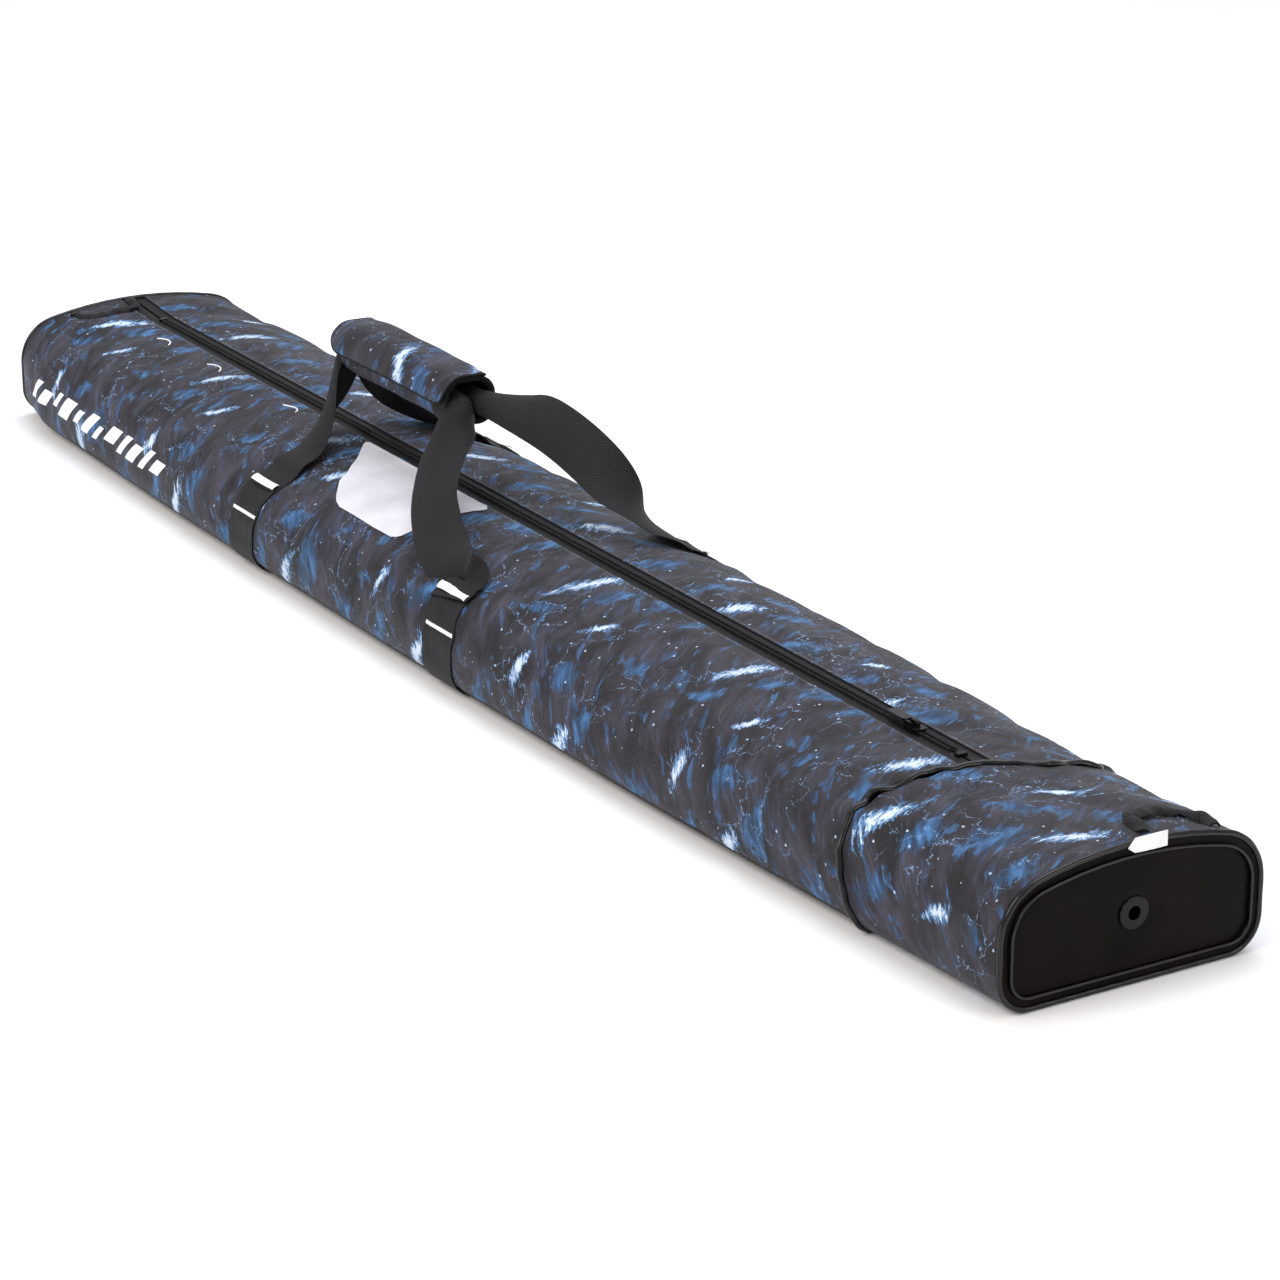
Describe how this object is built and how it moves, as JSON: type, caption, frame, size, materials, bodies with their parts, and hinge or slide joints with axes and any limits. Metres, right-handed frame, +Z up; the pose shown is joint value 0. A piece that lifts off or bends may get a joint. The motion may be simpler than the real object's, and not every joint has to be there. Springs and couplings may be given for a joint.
{
  "type": "ski bag",
  "caption": "Long padded ski bag with printed fabric, a zip along the top, wrapped carrying handle, haul loops and a coated end with a drain eyelet.",
  "frame": {"origin": "middle of the bag's length and width, on the surface it lies on", "axes": "+X along the bag to the end with the drain eyelet, -Y to the side with the ID patch, +Z up through the zip"},
  "size_m": [1.7509, 0.3062, 0.2156],
  "materials": {
    "printed_fabric": "satin",
    "coated_fabric": "satin",
    "piping": "satin",
    "lining": "matte",
    "foam": "matte",
    "webbing": "matte",
    "bar_tack_thread": "matte",
    "zip_tape": "matte",
    "zip_coil": "satin",
    "zip_metal": "satin",
    "pull_rubber": "matte",
    "eyelet": "gloss",
    "patch": "satin",
    "tag": "matte",
    "hook_and_loop": "matte"
  },
  "bodies": {
    "base": {"front_side_panel": "printed_fabric", "back_side_panel": "printed_fabric", "near_top_panel": "printed_fabric", "far_top_panel": "printed_fabric", "cuff_front": "printed_fabric", "cuff_back": "printed_fabric", "cuff_top": "printed_fabric", "cuff_bottom": "printed_fabric", "bottom_panel": "coated_fabric", "near_end_panel": "coated_fabric", "far_end_panel": "coated_fabric", "near_end_piping": "piping", "far_end_piping": "piping", "cuff_seam_piping": "piping", "near_end_ridge": "piping", "lining": "lining", "bottom_foam": "foam", "front_foam": "foam", "back_foam": "foam", "near_end_board": "foam", "far_end_board": "foam", "far_strap": "webbing", "near_strap": "webbing", "strap_bar_tacks": "bar_tack_thread", "closed_zip_tapes": "zip_tape", "closed_zip_coils": "zip_coil", "zip_stops": "zip_coil", "drain_eyelet": "eyelet", "drain_washer": "eyelet", "care_tag": "tag"},
    "front_flap": {"front_top_flap": "printed_fabric", "front_flap_foam": "foam", "front_flap_lining": "lining", "front_zip_tape": "zip_tape", "front_zip_coil": "zip_coil", "id_patch": "patch"},
    "back_flap": {"back_top_flap": "printed_fabric", "back_flap_foam": "foam", "back_flap_lining": "lining", "back_zip_tape": "zip_tape", "back_zip_coil": "zip_coil"},
    "handle": {"grip_wrap": "printed_fabric", "grip_pad": "foam", "grip_loop_strip": "hook_and_loop", "front_loop_in_grip": "webbing", "back_loop_in_grip": "webbing", "front_loop_far_leg": "webbing", "front_loop_near_leg": "webbing", "back_loop_far_leg": "webbing", "back_loop_near_leg": "webbing"},
    "handle_flap": {"grip_flap": "printed_fabric", "grip_hook_strip": "hook_and_loop"},
    "slider": {"zip_slider": "zip_metal"},
    "pull": {"pull_link": "zip_metal", "pull_tab": "pull_rubber"},
    "near_loop": {"near_haul_loop": "webbing"},
    "far_loop": {"far_haul_loop": "webbing"}
  },
  "joints": [
    {"name": "front_flap_fold", "type": "hinge", "parent": "base", "child": "front_flap", "pos_m": [0, -0.112, 0.0895], "axis": [1, 0, 0], "range_deg": [0, 28]},
    {"name": "back_flap_fold", "type": "hinge", "parent": "base", "child": "back_flap", "pos_m": [0, 0.112, 0.0895], "axis": [-1, 0, 0], "range_deg": [0, 28]},
    {"name": "handle_swing", "type": "hinge", "parent": "base", "child": "handle", "pos_m": [-0.223, 0, 0.05], "axis": [1, 0, 0], "range_deg": [-28, 28], "deforming": ["front_loop_far_leg", "front_loop_near_leg", "back_loop_far_leg", "back_loop_near_leg"]},
    {"name": "grip_flap_fold", "type": "hinge", "parent": "handle", "child": "handle_flap", "pos_m": [-0.223, 0.014, 0.2145], "axis": [-1, 0, 0], "range_deg": [0, 110]},
    {"name": "zip_slide", "type": "slide", "parent": "base", "child": "slider", "axis": [-1, 0, 0], "range_m": [0, 1.372]},
    {"name": "pull_fold", "type": "hinge", "parent": "slider", "child": "pull", "pos_m": [0.5978, 0, 0.1108], "axis": [0, 1, 0], "range_deg": [0, 150]},
    {"name": "near_loop_fold", "type": "hinge", "parent": "base", "child": "near_loop", "pos_m": [0.863, 0.048, 0.11341], "axis": [0, 1, 0], "range_deg": [0, 100]},
    {"name": "far_loop_fold", "type": "hinge", "parent": "base", "child": "far_loop", "pos_m": [-0.863, -0.04, 0.1129], "axis": [0, -1, 0], "range_deg": [0, 100]}
  ]
}
